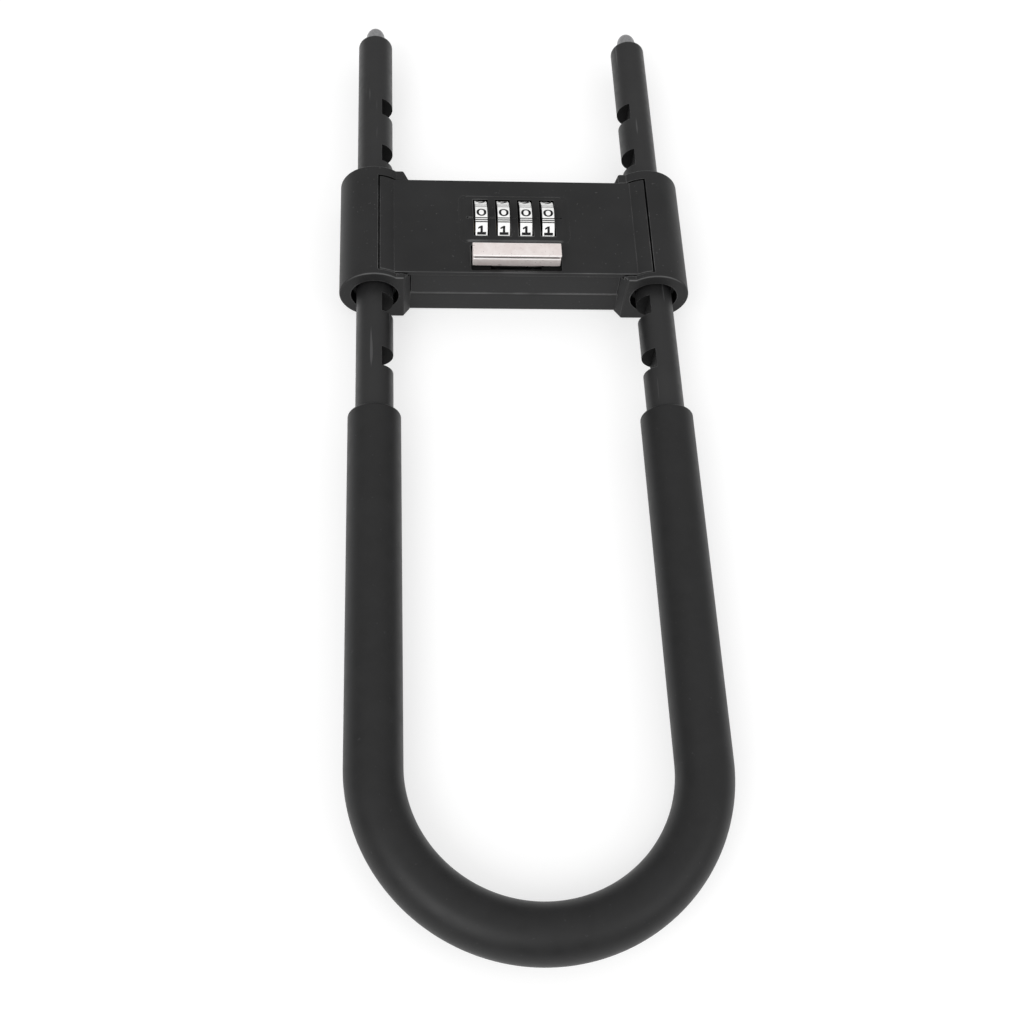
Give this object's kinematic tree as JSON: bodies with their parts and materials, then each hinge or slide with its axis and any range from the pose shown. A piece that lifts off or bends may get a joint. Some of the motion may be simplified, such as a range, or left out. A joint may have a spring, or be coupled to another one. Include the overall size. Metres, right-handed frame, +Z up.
{
  "type": "u lock",
  "caption": "Long combination U lock: a notched steel shackle in a vinyl sleeve slides through a black case with number dials and a silver slide bar.",
  "frame": {"origin": "under the middle of the lock, at the height of the case underside", "axes": "+Y along the legs from the bend to the tips, +Z up out of the dial face, X across the legs"},
  "size_m": [0.1252, 0.3626, 0.028],
  "materials": {
    "black_paint": "satin black powder coat, fine grain",
    "shackle_paint": "satin black paint over steel, worn bare at the tips",
    "black_vinyl": "matte black vinyl sleeve",
    "black_nylon": "moulded nylon",
    "black_rubber": "matte",
    "bare_steel": "pressed sheet steel",
    "spring_steel": "tempered sheet",
    "hard_steel": "ground and hardened",
    "satin_zinc": "satin plated die casting with light scratches",
    "zinc_screw": "zinc plated",
    "dial_chrome": "satin chrome with black filled numbers",
    "brass": "turned"
  },
  "bodies": {
    "case": {"case_base": "black_paint", "case_cover": "black_paint", "left_bore_bush": "black_nylon", "right_bore_bush": "black_nylon", "left_bore_wiper": "black_rubber", "right_bore_wiper": "black_rubber", "cover_screw_1": "zinc_screw", "cover_screw_2": "zinc_screw", "cover_screw_3": "zinc_screw", "cover_screw_4": "zinc_screw", "dial_frame": "bare_steel", "dial_spindle": "bare_steel", "spindle_clip_left": "bare_steel", "spindle_clip_right": "bare_steel", "dial_spacer_1": "brass", "dial_spacer_2": "brass", "dial_spacer_3": "brass", "dial_spacer_4": "brass", "dial_spacer_5": "brass", "detent_spring": "spring_steel", "frame_screw_1": "zinc_screw", "frame_screw_2": "zinc_screw", "spring_screw_1": "zinc_screw", "spring_screw_2": "zinc_screw"},
    "shackle": {"shackle_bar": "shackle_paint", "shackle_sleeve": "black_vinyl"},
    "slide": {"slide_button": "satin_zinc", "fence_plate": "bare_steel", "slide_rivet_left": "bare_steel", "slide_rivet_right": "bare_steel"},
    "bolt_left": {"left_bolt": "hard_steel", "left_bolt_pin": "hard_steel"},
    "bolt_right": {"right_bolt": "hard_steel", "right_bolt_pin": "hard_steel"},
    "dial_wheel_1": {"dial_1": "dial_chrome", "dial_hub_1": "brass"},
    "dial_wheel_2": {"dial_2": "dial_chrome", "dial_hub_2": "brass"},
    "dial_wheel_3": {"dial_3": "dial_chrome", "dial_hub_3": "brass"},
    "dial_wheel_4": {"dial_4": "dial_chrome", "dial_hub_4": "brass"}
  },
  "joints": [
    {"name": "shackle_slide", "type": "slide", "parent": "case", "child": "shackle", "axis": [0, 1, 0], "range_m": [-0.13656, 0.04552]},
    {"name": "button_slide", "type": "slide", "parent": "case", "child": "slide", "axis": [0, -1, 0], "range_m": [0, 0.0024]},
    {"name": "left_bolt_slide", "type": "slide", "parent": "case", "child": "bolt_left", "axis": [-1, 0, 0], "range_m": [0, 0.0039]},
    {"name": "right_bolt_slide", "type": "slide", "parent": "case", "child": "bolt_right", "axis": [1, 0, 0], "range_m": [0, 0.0039]},
    {"name": "dial_1_turn", "type": "hinge", "parent": "case", "child": "dial_wheel_1", "pos_m": [-0.012, 0.07848, 0.0156], "axis": [1, 0, 0], "continuous": true},
    {"name": "dial_2_turn", "type": "hinge", "parent": "case", "child": "dial_wheel_2", "pos_m": [-0.004, 0.07848, 0.0156], "axis": [1, 0, 0], "continuous": true},
    {"name": "dial_3_turn", "type": "hinge", "parent": "case", "child": "dial_wheel_3", "pos_m": [0.004, 0.07848, 0.0156], "axis": [1, 0, 0], "continuous": true},
    {"name": "dial_4_turn", "type": "hinge", "parent": "case", "child": "dial_wheel_4", "pos_m": [0.012, 0.07848, 0.0156], "axis": [1, 0, 0], "continuous": true}
  ],
  "couplings": [
    {"joint": "left_bolt_slide", "follows": "button_slide", "ratio": 1.625},
    {"joint": "right_bolt_slide", "follows": "button_slide", "ratio": 1.625}
  ]
}
